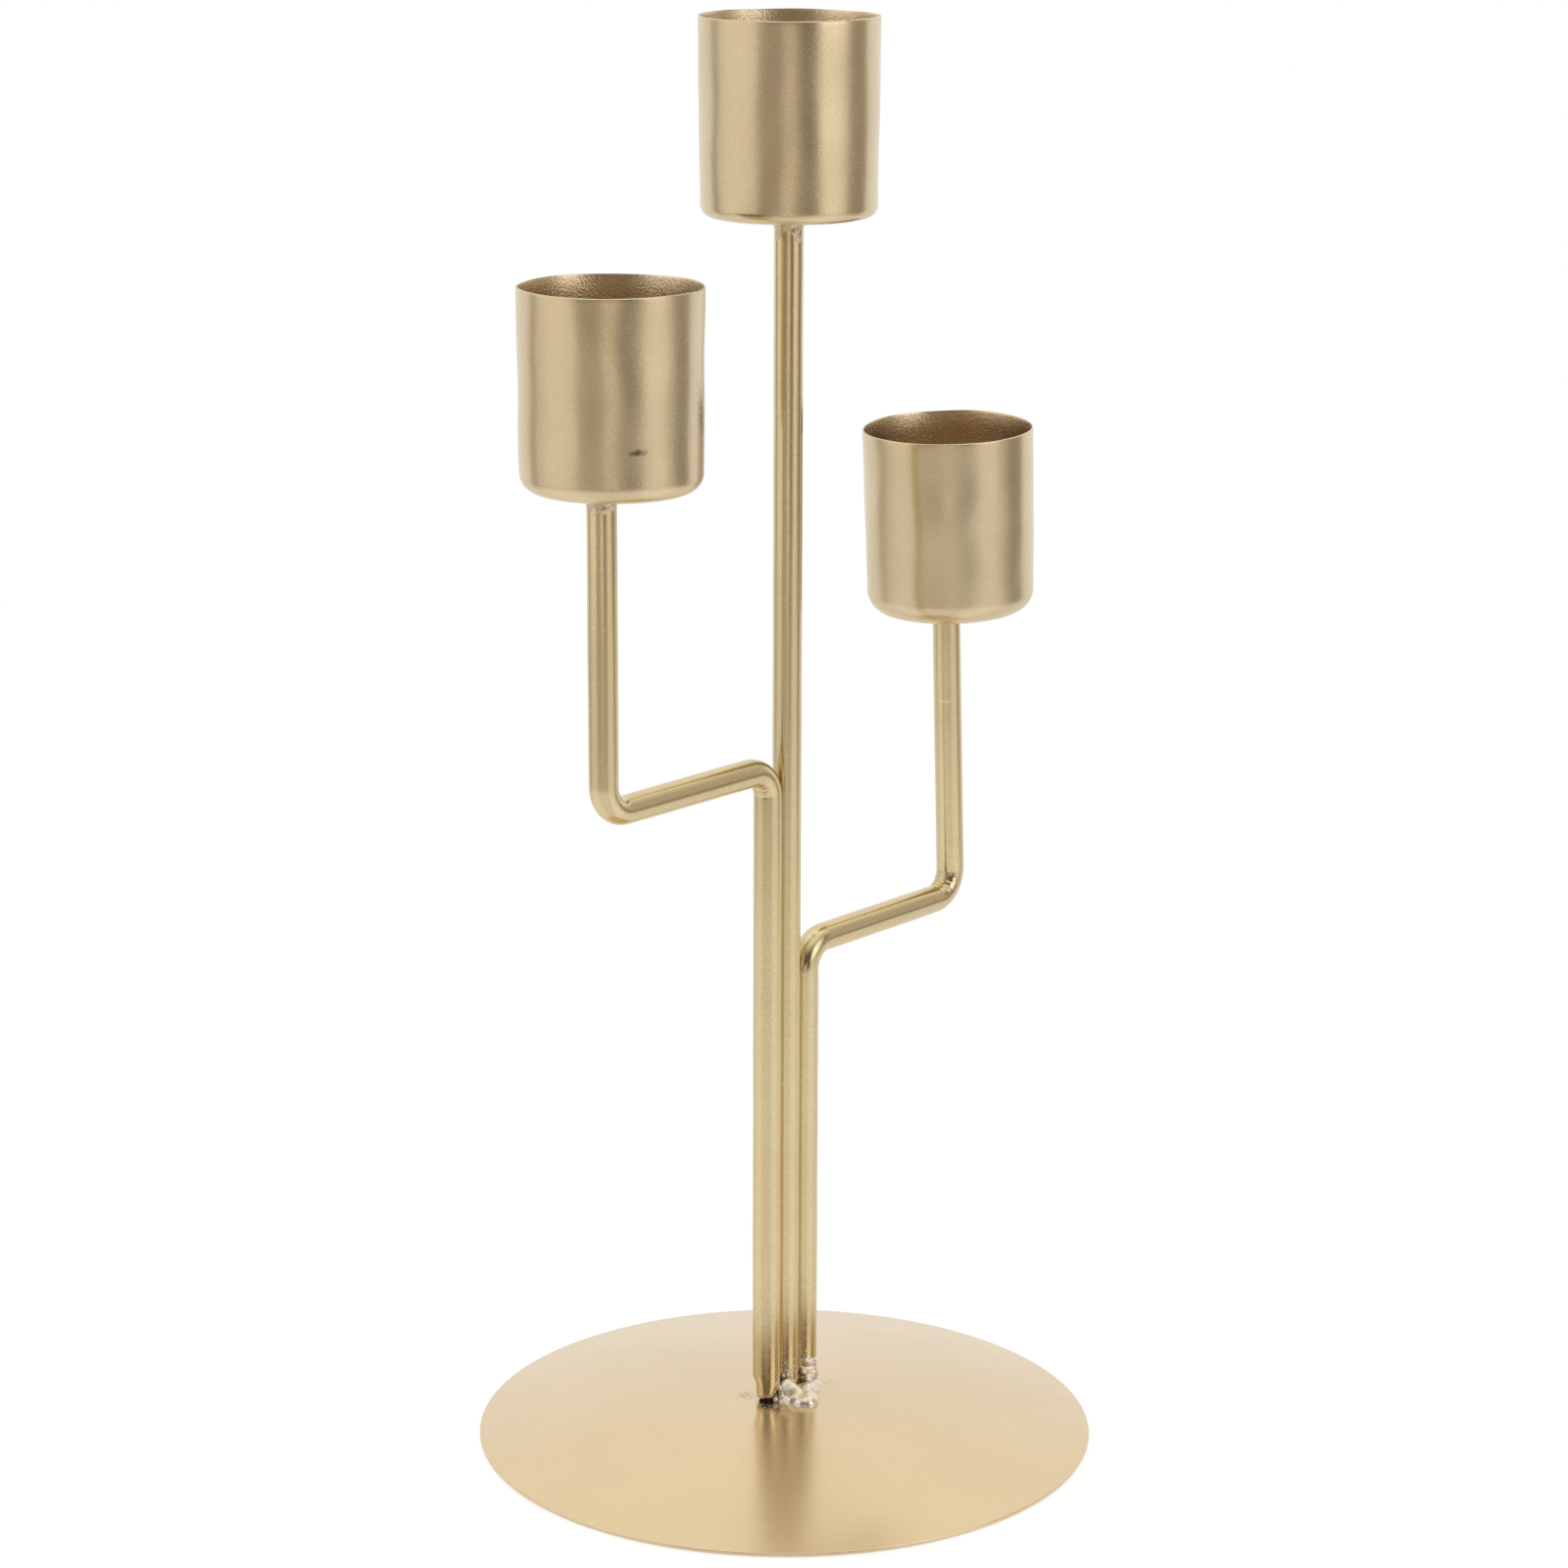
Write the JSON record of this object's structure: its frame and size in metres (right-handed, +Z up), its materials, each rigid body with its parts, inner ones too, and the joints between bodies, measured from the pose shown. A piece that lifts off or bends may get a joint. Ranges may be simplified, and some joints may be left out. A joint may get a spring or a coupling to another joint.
{
  "type": "candelabra",
  "caption": "Welded table candelabra: a domed round base plate, upright rods bent out and up at different heights, and a deep cylindrical candle cup on each rod.",
  "frame": {"origin": "middle of the base plate, on the surface that its rim stands on", "axes": "+Z up along the middle stem; the arms lie in the XZ plane, the higher one towards -X and the lower one towards +X"},
  "size_m": [0.0963, 0.088, 0.2016],
  "materials": {
    "base_paint": "satin champagne gold metallic paint on pressed steel sheet",
    "rod_paint": "satin champagne gold metallic paint on drawn steel rod",
    "cup_paint": "satin champagne gold metallic paint with a fine flake on drawn steel cups",
    "weld_paint": "thin pale gold paint over glossy weld beads"
  },
  "bodies": {
    "root": {"base_plate": "base_paint", "centre_stem": "rod_paint", "left_arm": "rod_paint", "right_arm": "rod_paint", "centre_cup": "cup_paint", "left_cup": "cup_paint", "right_cup": "cup_paint", "centre_cup_weld": "weld_paint", "left_cup_weld": "weld_paint", "right_cup_weld": "weld_paint", "foot_weld_front": "weld_paint", "foot_weld_side": "weld_paint", "foot_weld_rear": "weld_paint"}
  },
  "joints": []
}
